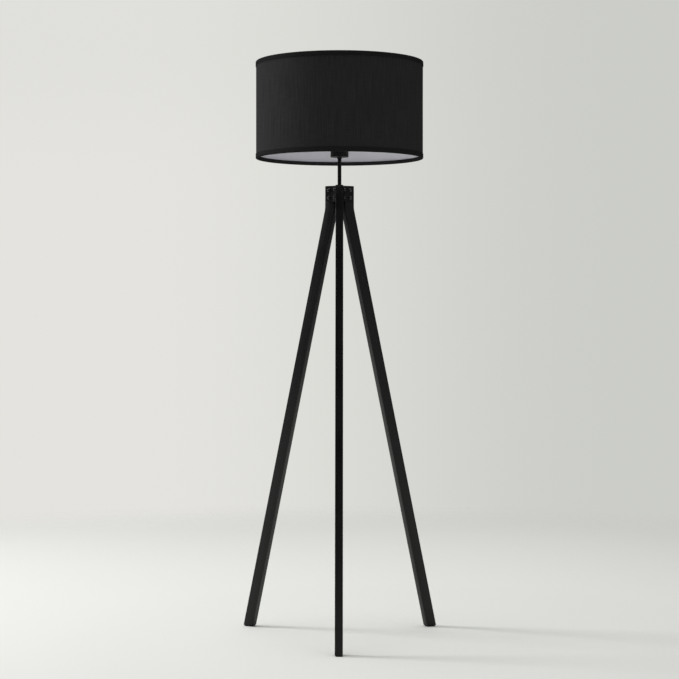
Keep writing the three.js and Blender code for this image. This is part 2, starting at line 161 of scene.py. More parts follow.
def wornEdge(w, start, end):  # 1 along outside corners
    return w.node("ShaderNodeNewGeometry", output="Pointiness").ramp(start, end)


# Finishes, in metres: a scale of 500 has details about 2 mm across

legPaint = {
    "deep": (0.002, 0.002, 0.0021), "lit": (0.0044, 0.0044, 0.0046), "gloss": 0.3, "smoothest": 0.34, "roughest": 0.5,
    "grainAlong": 14, "grainAcross": 520, "patchAlong": 6, "patchAcross": 40, "relief": 0.00006,
    "rubbed": (0.022, 0.0215, 0.021), "rubbedShare": 0.7, "rubbedScale": 70,
}


def paintedWood(name, look):
    made, w = newMaterial(name, {"Specular IOR Level": look["gloss"]})
    place = ownPlace(w)
    along, across = look["grainAlong"], look["grainAcross"]
    grain = place.scaled(along, across, across).cloud(1, 5, 0.6)
    pores = place.scaled(along * 5, across * 3, across * 3).cloud(1, 2, 0.5).ramp(0.58, 0.68)
    patches = place.scaled(look["patchAlong"], look["patchAcross"], look["patchAcross"]).cloud(1, 3, 0.5)
    worn = wornEdge(w, 0.54, 0.66) * place.cloud(look["rubbedScale"], 4, 0.6).ramp(0.35, 0.65)
    body = (grain * 0.7 + patches * 0.3).ramp(0.3, 0.7).tint(look["deep"], look["lit"])
    colour = (worn * look["rubbedShare"]).between(body, (*look["rubbed"], 1))
    roughness = (grain * 0.5 + patches * 0.5).ramp(0.35, 0.65, look["smoothest"], look["roughest"])
    relief = (grain * 0.6 - pores * 0.4).bump(look["relief"], 0.6)
    return wire(made, Base_Color=colour, Roughness=roughness, Normal=relief)


powderCoat = {
    "deep": (0.002, 0.002, 0.0021), "lit": (0.0045, 0.0045, 0.0047), "gloss": 0.22, "smoothest": 0.36, "roughest": 0.48,
    "peel": 900, "patches": 35, "wear": 240, "relief": 0.00003,
}


def coatedSteel(name, look):
    made, w = newMaterial(name, {"Specular IOR Level": look["gloss"]})
    place = ownPlace(w)
    peel = place.cloud(look["peel"], 2, 0.5)
    patches = place.cloud(look["patches"], 3, 0.5)
    worn = wornEdge(w, 0.55, 0.7) * place.cloud(look["wear"], 3, 0.6).ramp(0.45, 0.7)
    colour = (patches * 0.6 + worn * 0.4).ramp(0.25, 0.75).tint(look["deep"], look["lit"])
    roughness = (peel * 0.5 + patches * 0.5).ramp(0.35, 0.65, look["smoothest"], look["roughest"])
    return wire(made, Base_Color=colour, Roughness=roughness, Normal=peel.bump(look["relief"], 0.5))


platings = {
    "bolt_steel": {"deep": (0.055, 0.055, 0.057), "lit": (0.095, 0.095, 0.098), "roughness": 0.13, "scratch": 1800},
    "zinc_steel": {"deep": (0.48, 0.49, 0.52), "lit": (0.68, 0.69, 0.7), "roughness": 0.34, "scratch": 900},
    "brass": {"deep": (0.52, 0.37, 0.15), "lit": (0.76, 0.59, 0.3), "roughness": 0.3, "scratch": 1200},
    "nickel": {"deep": (0.58, 0.57, 0.54), "lit": (0.74, 0.73, 0.7), "roughness": 0.24, "scratch": 1000},
}
plating = {"clouds": 160, "ringFineness": 12, "smoother": 0.07, "rougher": 0.1, "relief": 0.00001}  # alike in all


def platedMetal(name, look):
    made, w = newMaterial(name, {"Metallic": 1.0})
    place = ownPlace(w)
    cloudy = place.cloud(plating["clouds"], 4, 0.6)
    lathed = place.scaled(1, 1, plating["ringFineness"]).cloud(look["scratch"], 2, 0.5)
    colour = (cloudy * 0.7 + lathed * 0.3).ramp(0.3, 0.7).tint(look["deep"], look["lit"])
    smoothest, roughest = look["roughness"] - plating["smoother"], look["roughness"] + plating["rougher"]
    roughness = (cloudy * 0.5 + lathed * 0.5).ramp(0.3, 0.7, smoothest, roughest)
    return wire(made, Base_Color=colour, Roughness=roughness, Normal=lathed.bump(plating["relief"], 0.35))


plastics = {
    "black_plastic": {"deep": (0.011, 0.011, 0.012), "lit": (0.019, 0.019, 0.02), "roughness": 0.5, "grain": 2600},
    "white_plastic": {"deep": (0.76, 0.76, 0.74), "lit": (0.84, 0.84, 0.82), "roughness": 0.34, "grain": 1500},
    "white_wire": {"deep": (0.72, 0.72, 0.71), "lit": (0.84, 0.84, 0.83), "roughness": 0.42, "grain": 1100},
    "foot_rubber": {"deep": (0.009, 0.009, 0.009), "lit": (0.02, 0.02, 0.02), "roughness": 0.82, "grain": 1900},
}
moulding = {"patches": 45, "smoother": 0.06, "rougher": 0.08, "relief": 0.00002}  # alike in all


def mouldedPlastic(name, look):
    made, w = newMaterial(name, {"Specular IOR Level": 0.5})
    place = ownPlace(w)
    grain = place.cloud(look["grain"], 3, 0.6)
    patches = place.cloud(moulding["patches"], 3, 0.5)
    colour = (grain * 0.4 + patches * 0.6).ramp(0.3, 0.7).tint(look["deep"], look["lit"])
    smoothest, roughest = look["roughness"] - moulding["smoother"], look["roughness"] + moulding["rougher"]
    roughness = (grain * 0.5 + patches * 0.5).ramp(0.3, 0.7, smoothest, roughest)
    return wire(made, Base_Color=colour, Roughness=roughness, Normal=grain.bump(moulding["relief"], 0.5))


opal = {
    "deep": (0.82, 0.82, 0.79), "lit": (0.9, 0.9, 0.88), "smoothest": 0.22, "roughest": 0.32, "relief": 0.00002,
    "milkiness": 0.25, "milkTint": (0.6, 0.55, 0.5), "milkDepth": 0.004,
}


def opalGlass(name, look):
    fixed = {"Subsurface Weight": look["milkiness"], "Subsurface Radius": look["milkTint"],
             "Subsurface Scale": look["milkDepth"], "Coat Roughness": 0.1}
    made, w = newMaterial(name, fixed)
    place = ownPlace(w)
    cloudy = place.cloud(60, 4, 0.55)
    colour = cloudy.ramp(0.3, 0.7).tint(look["deep"], look["lit"])
    roughness = place.cloud(25, 3, 0.5).ramp(0.35, 0.65, look["smoothest"], look["roughest"])
    return wire(made, Base_Color=colour, Roughness=roughness, Normal=cloudy.bump(look["relief"], 0.4))


# The cloth is a plain weave of dark yarn. Thick places in the yarn, slubs, show as fine streaks along it.
cloth = {
    "deep": (0.0237, 0.0237, 0.024), "lit": (0.054, 0.054, 0.0546), "smoothest": 0.78, "roughest": 0.92,
    "yarnPitch": 0.00062, "slubsAcross": 430, "slubsAlong": 11, "slubsUpright": True, "patches": 9,
    "radius": 0.218, "relief": 0.00012,
}

# The bands are the same cloth, cut along the other yarn and pressed flat. Their darker colour is partly the bands' own
# tone and partly painted shade, standing for the shade on the turn-in inside the rim.
hemClothWithPaintedShade = {**cloth, "deep": (0.014, 0.014, 0.0142), "lit": (0.031, 0.031, 0.0315), "slubsAlong": 24,
            "slubsUpright": False}


def wovenCloth(name, look):
    made, w = newMaterial(name, {"Specular IOR Level": 0.0})
    xyz = w.node("ShaderNodeSeparateXYZ", inputs={"Vector": ownPlace(w)})
    height = xyz.out("Z")
    along = w.maths("ARCTAN2", xyz.out("X"), 0 - xyz.out("Y")) * look["radius"]  # its jump is at the back seam
    flat = w.node("ShaderNodeCombineXYZ", inputs={"X": along, "Y": height})
    x, y = look["slubsAcross"], look["slubsAlong"]
    if not look["slubsUpright"]:
        x, y = y, x
    slubs = flat.scaled(x, y, 1).cloud(1, 4, 0.62)
    crossing = flat.scaled(y * 2, x * 1.6, 1).cloud(1, 3, 0.55)
    patches = flat.cloud(look["patches"], 2, 0.5)
    turns = 2 * math.pi / look["yarnPitch"]
    weave = w.maths("SINE", along * turns) * w.maths("SINE", height * turns) * 0.5 + 0.5
    thick = (slubs * 0.66 + crossing * 0.24 + patches * 0.1).ramp(0.32, 0.71, smooth=False)
    colour = (thick * 0.8 + weave * 0.2).tint(look["deep"], look["lit"])
    roughness = thick.ramp(0, 1, look["roughest"], look["smoothest"])
    relief = (weave * 0.6 + thick * 0.8).bump(look["relief"], 0.7)
    return wire(made, Base_Color=colour, Roughness=roughness, Normal=relief)


lining = {
    "deep": (0.675, 0.672, 0.715), "lit": (0.75, 0.747, 0.79), "gloss": 0.35, "smoothest": 0.6, "roughest": 0.74,
    "clouds": 14, "fibres": 700, "fibreLength": 4, "relief": 0.00003,
}


def linerFilm(name, look):
    made, w = newMaterial(name, {"Specular IOR Level": look["gloss"]})
    place = ownPlace(w)
    clouds = place.cloud(look["clouds"], 3, 0.5)
    fibres = place.scaled(1, 1, 1 / look["fibreLength"]).cloud(look["fibres"], 3, 0.6)
    colour = (clouds * 0.6 + fibres * 0.4).ramp(0.35, 0.65).tint(look["deep"], look["lit"])
    roughness = clouds.ramp(0.35, 0.65, look["smoothest"], look["roughest"])
    return wire(made, Base_Color=colour, Roughness=roughness, Normal=fibres.bump(look["relief"], 0.4))


def camelName(slot):
    first, *rest = slot.split("_")
    return first + "".join(word.title() for word in rest)


finishes = {
    "leg_wood": paintedWood("legWood", legPaint),
    "black_steel": coatedSteel("blackSteel", powderCoat),
    "opal_glass": opalGlass("opalGlass", opal),
    "shade_fabric": wovenCloth("shadeCloth", cloth),
    "shade_hem": wovenCloth("hemClothWithPaintedShade", hemClothWithPaintedShade),
    "shade_liner": linerFilm("linerFilm", lining),
}
for slot, look in platings.items():
    finishes[slot] = platedMetal(camelName(slot), look)
for slot, look in plastics.items():
    finishes[slot] = mouldedPlastic(camelName(slot), look)
print("finishes:", len(finishes))

# Shapes are (points, faces), made about the lamp's axis


def softTurn(start, corner, end, t):  # the point at t on a curve from start to end that leans to the corner
    return start.lerp(corner, t).lerp(corner.lerp(end, t), t)


def eased(outline, radius, steps=4):
    # rounds the corners of a closed outline, but leaves those on the axis; radius is one number, or one for each corner
    out = []
    for i, here in enumerate(outline):
        corner, before, after = Vector(here), Vector(outline[i - 1]), Vector(outline[(i + 1) % len(outline)])
        size = radius[i] if isinstance(radius, (list, tuple)) else radius
        if corner.x < 1e-6 or size == 0:
            out.append(tuple(corner))
            continue
        reach = min(size, 0.48 * (before - corner).length, 0.48 * (after - corner).length)  # less than half a side
        start = corner + (before - corner).normalized() * reach
        end = corner + (after - corner).normalized() * reach
        out += [tuple(softTurn(start, corner, end, k / steps)) for k in range(steps + 1)]
    return out


def alongPath(points, i):  # the direction of an open path at one of its points
    return (points[min(i + 1, len(points) - 1)] - points[max(i - 1, 0)]).normalized()


def ribbon(path, thickness):  # the outline of a thin band that follows an open path
    points = [Vector(p) for p in path]
    left, right = [], []
    for i, here in enumerate(points):
        along = alongPath(points, i)
        side = Vector((-along.y, along.x)) * thickness / 2
        left.append(tuple(here + side))
        right.append(tuple(here - side))
    return left + right[::-1]


def spin(rings, sides=96, closed=True):
    # turns rings about the axis; a ring is (radius, height), or a function of the angle that gives them
    points, faces, loops = [], [], []
    for ring in rings:
        made = []
        for i in range(sides):
            angle = 2 * math.pi * i / sides
            radius, height = ring(angle) if callable(ring) else ring
            made.append((radius * math.cos(angle), radius * math.sin(angle), height))
            if radius < 1e-7:  # a point on the axis
                break
        loops.append(range(len(points), len(points) + len(made)))
        points += made
    pairs = list(zip(loops, loops[1:])) + ([(loops[-1], loops[0])] if closed else [])
    for low, high in pairs:
        for i in range(sides):
            j = (i + 1) % sides
            corners = [low[i % len(low)], low[j % len(low)], high[j % len(high)], high[i % len(high)]]
            corners = list(dict.fromkeys(corners))
            if len(corners) > 2:
                faces.append(corners)
    return points, faces


def loft(loops):  # skins a row of equal loops and caps both ends
    count = len(loops[0])
    points = [tuple(p) for loop in loops for p in loop]
    faces = []
    for low in range(0, len(points) - count, count):
        high = low + count
        for i in range(count):
            j = (i + 1) % count
            faces.append([low + i, low + j, high + j, high + i])
    faces += [list(range(count))[::-1], list(range(len(points) - count, len(points)))]
    return points, faces


def sweep(path, radius, sides, tipLength=0.35, tipWidth=0.65):
    # a round wire along an open path; its ends narrow to a tip, whose size is a share of the radius
    path = [Vector(p) for p in path]
    turns = [2 * math.pi * k / sides for k in range(sides)]
    loops, normal = [], None
    for i, here in enumerate(path):
        along = alongPath(path, i)
        normal = along.orthogonal() if normal is None else normal - along * normal.dot(along)
        normal.normalize()
        across = along.cross(normal)
        loops.append([here + (normal * math.cos(a) + across * math.sin(a)) * radius for a in turns])
    tips = []
    for loop, here, inner in ((loops[0], path[0], path[1]), (loops[-1], path[-1], path[-2])):
        tip = here + (here - inner).normalized() * radius * tipLength
        tips.append([tip + (p - here) * tipWidth for p in loop])
    return loft([tips[0], *loops, tips[1]])


ridge = {"bed": 0.0003, "skin": 0.00005,  # how far its bed and its lower edges lie inside the core
         "halfWidth": 0.47, "flat": 0.14}  # a share of the pitch, and the crest's share of that


def thread(root, crest, pitch, low, high, sides=48, rounded=False):
    # a ridge wound round a core of the root's radius, its bed a little inside the core; it fades out at both ends
    outwards = 1 if crest > root else -1
    bed, skin = root - outwards * ridge["bed"], root - outwards * ridge["skin"]
    if rounded:
        profile = [(u / 4, 0.5 + 0.5 * math.cos(math.pi * u / 4)) for u in range(-4, 5)]
    else:
        profile = [(-1, 0), (-ridge["flat"], 1), (ridge["flat"], 1), (1, 0)]
    steps = int(((high - low) / pitch - 1) * sides)
    reach = pitch * ridge["halfWidth"]
    loops = []
    for k in range(steps + 1):
        angle = 2 * math.pi * k / sides
        middle = low + pitch * (0.5 + k / sides)
        fade = min(1, 2 * min(k, steps - k) / sides)
        ring = [(bed, -1)] + [(skin + (crest - skin) * share * fade, u) for u, share in profile] + [(bed, 1)]
        loops.append([(r * math.cos(angle), r * math.sin(angle), middle + u * reach) for r, u in ring])
    return loft(loops)


def moved(shape, matrix):
    return [tuple(matrix @ Vector(p)) for p in shape[0]], shape[1]


def hexReach(acrossFlats, angle):  # from a hexagon's middle to its edge
    return acrossFlats / 2 / math.cos((angle + math.pi / 6) % (math.pi / 3) - math.pi / 6)


def addPiece(name, shapes, slot, replaces, where=Matrix.Identity(4), finish=None, crease=32):
    points, faces = [], []
    for shapePoints, shapeFaces in shapes:
        faces += [[len(points) + k for k in face] for face in shapeFaces]
        points += shapePoints
    mesh = bpy.data.meshes.new(name)
    mesh.from_pydata([tuple(where @ Vector(p)) for p in points], [], faces)
    build = bmesh.new()
    build.from_mesh(mesh)
    bmesh.ops.recalc_face_normals(build, faces=build.faces)
    build.to_mesh(mesh)
    build.free()
    own = mesh.attributes.new("own", "FLOAT_VECTOR", "POINT")
    own.data.foreach_set("vector", [value for p in points for value in p])
    mesh.shade_smooth()
    mesh.set_sharp_from_angle(angle=math.radians(crease))
    mesh.materials.append(finishes[finish or slot])
    piece = bpy.data.objects.new(name, mesh)
    scene.collection.objects.link(piece)
    piece.matrix_world = onAxis
    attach(piece, bodyOf[replaces[0]])
    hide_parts(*replaces)
    return piece


def turnedSize(node):  # radius, lower end and upper end of a round CAD piece
    low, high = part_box(node)
    return (high.x - low.x) / 2, low.z, high.z


# Legs, foot pads and bolts

legs = {"front": -90, "right": 30, "left": 150}  # degrees round the axis
legSize = {"depth": 0.028, "headHeight": 0.059, "arris": 0.0017, "footEdge": 0.0008, "bendEase": 0.006}
easedEnd = ((0, 1), (0.3, 0.3), (1, 0))  # how far in and how much narrower, from an end to where its rounding stops


def at(radius, height):
    return Vector((radius, 0, height))


def roundedLoop(inner, outer, width, corner, shrink=0.0, steps=4):
    # a rounded rectangle across a leg, between a point of its inside and one of its outside
    middle, along = (inner + outer) / 2, (outer - inner).normalized()
    halfDepth, halfWidth = (outer - inner).length / 2 - shrink, width / 2 - shrink
    corner = max(corner - shrink, 0.0002)  # never quite sharp
    loop = []
    for quarter, (sideX, sideY) in enumerate(((1, 1), (-1, 1), (-1, -1), (1, -1))):
        for k in range(steps + 1):
            angle = math.pi / 2 * (quarter + k / steps)
            u = sideX * (halfDepth - corner) + corner * math.cos(angle)
            v = sideY * (halfWidth - corner) + corner * math.sin(angle)
            loop.append(middle + along * u + Vector((0, v, 0)))
    return loop


def legShape(look):
    # an upright head and a long slanted part of the same depth; the leg's own frame lies along the slant, for its grain
    low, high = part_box("leg_front")
    headInside, footReach, width = axis.y - high.y, axis.y - low.y, high.x - low.x
    headReach = headInside + look["depth"]
    bend = high.z - look["headHeight"]
    slope = (footReach - headReach) / (bend - low.z)
    run = look["depth"] / math.cos(math.atan(slope))
    innerBend = bend - (run - look["depth"]) / slope
    ease, arris, foot = look["bendEase"], look["arris"], look["footEdge"]

    def bent(radius, height, t):
        return softTurn(at(radius, height + ease), at(radius, height), at(radius + slope * ease, height - ease), t)

    pairs = []  # inside, outside and how much narrower, from the top down
    for drop, narrower in easedEnd:
        height = high.z - arris * drop
        pairs.append((at(headInside, height), at(headReach, height), arris * narrower))
    pairs += [(bent(headInside, innerBend, t / 4), bent(headReach, bend, t / 4), 0) for t in range(5)]
    for share, narrower in reversed(easedEnd):
        rise = foot * share
        outside = footReach - slope * rise
        pairs.append((at(outside - run, low.z + rise), at(outside, low.z + rise), foot * narrower))
    loops = [roundedLoop(inner, outer, width, arris, shrink) for inner, outer, shrink in pairs]
    tilt = Matrix.Rotation(math.pi / 2 - math.atan(slope), 4, "Y")
    ownFrame = Matrix.Translation(at(headInside + look["depth"] / 2, bend)) @ tilt
    return moved(loft(loops), ownFrame.inverted()), ownFrame


padSize = {"height": 0.0025, "edge": 0.0005, "corner": 0.002, "nailRadius": 0.0015, "nailPoint": 0.002}


def padShapes(look):
    low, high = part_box("foot_pad_front")
    reach, half = axis.y - (low.y + high.y) / 2, (high.y - low.y) / 2
    bottom, top, edge, nail = low.z, low.z + look["height"], look["edge"], look["nailRadius"]
    loops = []
    for height, shrink in ((bottom, edge), (bottom + edge, 0), (top - edge, 0), (top, edge)):
        inner, outer = at(reach - half, height), at(reach + half, height)
        loops.append(roundedLoop(inner, outer, high.x - low.x, look["corner"], shrink, 5))
    shank = spin([(0, top), (nail, top), (nail, high.z - look["nailPoint"]), (0, high.z)], 16, closed=False)
    return [loft(loops), moved(shank, Matrix.Translation((reach, 0, 0)))]


boltSize = {
    "head": 0.0026, "headSide": 0.0007, "headEdge": 0.0002, "domeSteps": 6, "sides": 48,
    "socket": 0.003, "socketDepth": 0.0016, "socketCone": 0.0004, "lip": 0.0003,
    "shank": 0.0025, "chamfer": 0.0004, "sleeve": 0.0037, "play": 0.0003,
    "nutBottom": 0.0013,  # from under the sleeve nut's head to the end of its bore
    "socketTurns": {"upper": 17, "lower": 41},  # as they happened to stop
}


def buttonHead(radius, seat, look, shank):
    # a domed head with a hexagon socket, and the shank below it, along +Z
    top, side, edge = seat + look["head"], seat + look["headSide"], look["headEdge"]
    lip = look["socket"] / 2 / math.cos(math.pi / 6) + look["lip"]
    rings = [*shank, (radius - edge, seat), (radius, seat + edge), (radius, side)]
    for k in range(1, look["domeSteps"] + 1):
        turn = k / look["domeSteps"] * math.pi / 2
        rings.append((lip + (radius - lip) * math.cos(turn), side + (top - side) * math.sin(turn)))
    for drop in (look["lip"], look["socketDepth"]):
        rings.append(lambda angle, drop=drop: (hexReach(look["socket"], angle), top - drop))
    rings.append((0, top - look["socketDepth"] - look["socketCone"]))
    return spin(rings, look["sides"], closed=False)


def boltShapes(look):
    low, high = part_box("leg_bolt_front_upper")
    radius, seat, shankEnd = (high.z - low.z) / 2, high.x - look["head"], low.x
    sleeveEnd = -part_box("sleeve_nut_front_upper")[1].x
    shank, chamfer, sleeve = look["shank"], look["chamfer"], look["sleeve"]
    boltShank = [(0, shankEnd), (shank - chamfer, shankEnd), (shank, shankEnd + chamfer), (shank, seat)]
    bore, mouth, bottom = shank + look["play"], shank + 2 * look["play"], seat - look["nutBottom"]
    nutShank = [(0, bottom), (bore, bottom), (bore, sleeveEnd + look["play"]), (mouth, sleeveEnd), (sleeve, sleeveEnd),
                (sleeve, seat)]
    return buttonHead(radius, seat, look, boltShank), buttonHead(radius, seat, look, nutShank)


def addLegs():
    legMesh, legFrame = legShape(legSize)
    padMeshes = padShapes(padSize)
    boltMesh, nutMesh = boltShapes(boltSize)
    boltReach = axis.y - sum(v.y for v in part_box("leg_bolt_front_upper")) / 2
    for side, azimuth in legs.items():
        place = Matrix.Rotation(math.radians(azimuth), 4, "Z")
        addPiece(side + "Leg", [legMesh], "leg_wood", ["leg_" + side], place @ legFrame)
        addPiece(side + "FootPad", padMeshes, "foot_rubber", ["foot_pad_" + side], place)
        for level, degrees in boltSize["socketTurns"].items():
            boltNode, nutNode = f"leg_bolt_{side}_{level}", f"sleeve_nut_{side}_{level}"
            middle = place @ Matrix.Translation((boltReach, 0, sum(v.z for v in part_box(boltNode)) / 2))
            turned = Matrix.Rotation(math.radians(degrees), 4, "Z")
            addPiece(f"{side}Bolt{level.title()}", [boltMesh], "bolt_steel", [boltNode],
                     middle @ Matrix.Rotation(-math.pi / 2, 4, "X") @ turned)
            addPiece(f"{side}SleeveNut{level.title()}", [nutMesh], "bolt_steel", [nutNode],
                     middle @ Matrix.Rotation(math.pi / 2, 4, "X") @ turned)


addLegs()
print("legs, pads and bolts")

# Hub bracket: three bent plates welded round a web

tubeHole = 0.0053  # the radius of every hole that the tube goes through
hub = {
    "thickness": 0.0025, "gap": 0.0003, "setback": 0.0044, "corner": 0.005, "bend": 0.004, "edge": 0.0003,
    "web": 0.004, "webEdge": 0.0004, "webSides": 180, "webCorner": 0.7,
}


def bentPlate(look, low, high, legHalf, reach):
    # one plate in its own frame: x points between two legs, the wings run back along them
    middle = legHalf + look["gap"] + look["thickness"] / 2
    root = Vector((middle / math.sin(math.pi / 3), 0))
    away = Vector((math.cos(math.pi / 3), math.sin(math.pi / 3)))  # along a leg
    back = Vector((away.x, -away.y))  # along the other one
    length, bend = reach - middle / math.tan(math.pi / 3), look["bend"]
    flat = [length - look["corner"] * (1 - math.cos(math.pi / 2 * k / 8)) for k in range(9)] + [bend]
    path = [(d, root + away * d) for d in flat]
    path += [(0, softTurn(root + away * bend, root, root + back * bend, t / 6)) for t in range(1, 6)]
    path += [(d, root + back * d) for d in reversed(flat)]
    points = [here for d, here in path]
    half, edge = look["thickness"] / 2, look["edge"]
    loops = []
    for i, (d, here) in enumerate(path):
        along = alongPath(points, i)
        side = Vector((-along.y, along.x))
        past = max(0, look["corner"] - (length - d)) if d else 0  # how far into a wing's rounded corners
        inset = look["corner"] - math.sqrt(max(0, look["corner"] ** 2 - past ** 2))
        floor, top = low + inset, high - inset
        loop = [(half, floor + edge), (half, top - edge), (half - edge, top), (edge - half, top),
                (-half, top - edge), (-half, floor + edge), (edge - half, floor), (half - edge, floor)]
        loops.append([(*(here + side * n), z) for n, z in loop])
    return loft(loops)


def addHub(look):
    low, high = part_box("hub_bracket")
    legLow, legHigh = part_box("leg_front")
    legHalf, headInside = (legHigh.x - legLow.x) / 2, axis.y - legHigh.y
    reach = headInside + legSize["depth"] - look["setback"]
    plate = bentPlate(look, low.z, high.z, legHalf, reach)
    shapes = [moved(plate, Matrix.Rotation(math.radians(azimuth + 60), 4, "Z")) for azimuth in legs.values()]
    flat = headInside - look["gap"]
    corner = (legHalf + look["gap"] + look["thickness"] * look["webCorner"]) / math.sin(math.pi / 3)

    def side(distance, angle, azimuth):  # to a straight side that faces the azimuth; far off for one that faces away
        return distance / max(0.05, math.cos(angle - math.radians(azimuth)))

    def webRim(shrink, height):  # one side before each leg and one in each plate's bend
        def ring(angle):
            reaches = [min(side(flat, angle, a), side(corner, angle, a + 60)) for a in legs.values()]
            return min(reaches) - shrink, height
        return ring

    middle, half, edge, rim = (low.z + high.z) / 2, look["web"] / 2, look["edge"], look["webEdge"]
    rings = [(tubeHole, middle - half + edge), (tubeHole + edge, middle - half),
             webRim(rim, middle - half), webRim(0, middle - half + rim),
             webRim(0, middle + half - rim), webRim(rim, middle + half),
             (tubeHole + edge, middle + half), (tubeHole, middle + half - edge)]
    shapes.append(spin(rings, look["webSides"]))
    addPiece("hubBracket", shapes, "black_steel", ["hub_bracket"])


addHub(hub)

# Tube with its washers, nuts and outlet bush

tube = {
    "bore": 0.0037, "boreEdge": 0.0004, "pitch": 0.001, "threadDepth": 0.00055, "lead": 0.0006, "leadDepth": 0.0003,
    "lowerThread": 0.042, "upperThread": 0.026,
}


def addTube(look):
    radius, low, high = turnedSize("stem_tube")
    bore, edge, root, lead = look["bore"], look["boreEdge"], radius - look["threadDepth"], look["lead"]
    tip = root - look["leadDepth"]
    smoothLow, smoothHigh = low + look["lowerThread"], high - look["upperThread"]
    outline = [(bore, low + edge), (bore + edge, low), (tip, low), (root, low + lead), (root, smoothLow),
               (radius, smoothLow + lead), (radius, smoothHigh - lead), (root, smoothHigh), (root, high - lead),
               (tip, high), (bore + edge, high), (bore, high - edge)]
    shapes = [spin(outline, 64), thread(root, radius, look["pitch"], low + lead, smoothLow),
              thread(root, radius, look["pitch"], smoothHigh, high - lead)]
    addPiece("stemTube", shapes, "black_steel", ["stem_tube"])


nut = {"bore": 0.00475, "boreEdge": 0.0005, "face": 0.94, "chamfer": 0.5}


def addNut(name, node, look):
    low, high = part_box(node)
    across = min(high.x - low.x, high.y - low.y)
    bore, edge, face = look["bore"], look["boreEdge"], across / 2 * look["face"]

    def chamfered(end, way):  # the flats meet a shallow cone, which leaves an arc on each of them
        return lambda angle: (hexReach(across, angle), end + way * (hexReach(across, angle) - face) * look["chamfer"])

    rings = [(bore, low.z + edge), (bore + edge, low.z), (face, low.z), chamfered(low.z, 1),
             chamfered(high.z, -1), (face, high.z), (bore + edge, high.z), (bore, high.z - edge)]
    addPiece(name, [spin(rings, 96)], "zinc_steel", [node])


def addWasher(name, node, edge=0.00025):
    radius, low, high = turnedSize(node)
    outline = eased([(tubeHole, low), (radius, low), (radius, high), (tubeHole, high)], edge, 3)
    addPiece(name, [spin(outline, 72)], "zinc_steel", [node])


bush = {
    "bore": 0.0028, "barrel": 0.0034, "flange": 0.0026, "mouth": 0.0008, "rim": 0.001, "step": 0.0004, "edge": 0.0002,
}


def addBush(look):
    radius, low, high = turnedSize("cable_outlet_bush")
    barrel, bore, flange, edge = look["barrel"], look["bore"], low + look["flange"], look["edge"]
    corners = [(bore, low), (radius, low), (radius, flange), (barrel, flange), (barrel, high), (bore, high)]
    outline = eased(corners, [look["mouth"], look["rim"], look["step"], edge, edge, edge])
    addPiece("cableOutletBush", [spin(outline, 72)], "black_plastic", ["cable_outlet_bush"])


addTube(tube)
addWasher("upperWasher", "upper_washer")
addWasher("lowerWasher", "lower_washer")
addNut("upperLockNut", "upper_lock_nut", nut)
addNut("lowerLockNut", "lower_lock_nut", nut)
addNut("cupLockNut", "cup_lock_nut", nut)
addBush(bush)
print("hub and tube")

# Cup and lampholder

cup = {
    "neckHeight": 0.004, "neckRadius": 0.006, "neckEdges": (0.0002, 0.0004, 0.0008), "shoulder": 0.0067,
    "wall": 0.001, "corner": 0.0022, "rimShare": 0.45,
}


def addCup(look):
    radius, low, high = turnedSize("holder_cup")
    under, wall, corner = low + look["neckHeight"], look["wall"], look["corner"]
    rim, hole = wall * look["rimShare"], look["neckEdges"][0]
    corners = [(tubeHole, low), (look["neckRadius"], low), (look["shoulder"], under), (radius, under), (radius, high),
               (radius - wall, high), (radius - wall, under + wall), (tubeHole, under + wall)]
    outline = eased(corners, [*look["neckEdges"], corner, rim, rim, corner - wall, hole], 6)
    addPiece("holderCup", [spin(outline, 128)], "black_steel", ["holder_cup"])


holderBase = {
    "wall": 0.002, "bossRadius": 0.0085, "bossHeight": 0.009, "ribs": 36, "ribDepth": 0.0004, "ribEnds": 0.003,
    "foot": (0.0015, 0.0004, 0.0006), "top": (0.0001, 0.0002, 0.0015),  # how far in, below and above, then the height
    "sides": 288,
}


def addHolderBase(look):
    radius, low, high = turnedSize("holder_base")
    floor, inside, boss = low + look["wall"], radius - look["wall"], look["bossRadius"]
    footIn, footOut, footHeight = look["foot"]
    topLow, topHigh, topHeight = look["top"]

    def ribbed(height):  # finger grips round the base
        return lambda angle: (radius - look["ribDepth"] * (0.5 - 0.5 * math.cos(angle * look["ribs"])), height)

    rings = [(tubeHole, low), (radius - footIn, low), (radius - footOut, low + footHeight),
             ribbed(low + look["ribEnds"]), ribbed(high - look["ribEnds"]),
             (radius - topLow, high - topHeight), (radius - topHigh, high), (inside, high), (inside, floor),
             (boss, floor), (boss, floor + look["bossHeight"]), (tubeHole, floor + look["bossHeight"])]
    addPiece("holderBase", [spin(rings, look["sides"])], "black_plastic", ["holder_base"])


holderSkirt = {
    "bore": 0.0152, "boreEdge": 0.0006, "pitch": 0.0025, "threadDepth": 0.0007, "threadLength": 0.026,
    "edge": 0.0003, "step": 0.0008, "lead": 0.001,
}


def addHolderSkirt(look):
    radius, low, high = turnedSize("holder_skirt")
    bore, edge, step, inner = look["bore"], look["edge"], look["step"], look["boreEdge"]
    root, start = radius - look["threadDepth"], high - look["threadLength"]
    outline = [(bore, low), (radius - edge, low), (radius, low + edge), (radius, start - step), (root, start),
               (root, high - look["lead"]), (root - step, high), (bore + inner, high), (bore, high - inner)]
    ridges = thread(root, radius, look["pitch"], start, high - step, 96, rounded=True)
    addPiece("holderSkirt", [spin(outline, 96), ridges], "black_plastic", ["holder_skirt"])


lampThread = {"pitch": 0.0036, "depth": 0.0007}  # the bulb's cap and the shell that it screws into
contacts = {
    "seat": 0.0052, "seatDepth": 0.001, "edge": 0.0005, "shellWall": 0.0008, "shellEdge": 0.0002,
    "shellThread": (0.002, 0.001),  # where it starts above the lower end and stops below the upper one
    "tongue": (0.6, 0.001, 0.0012, 0.5),  # share of its radius at the bottom, two bevels, share at the tip
}


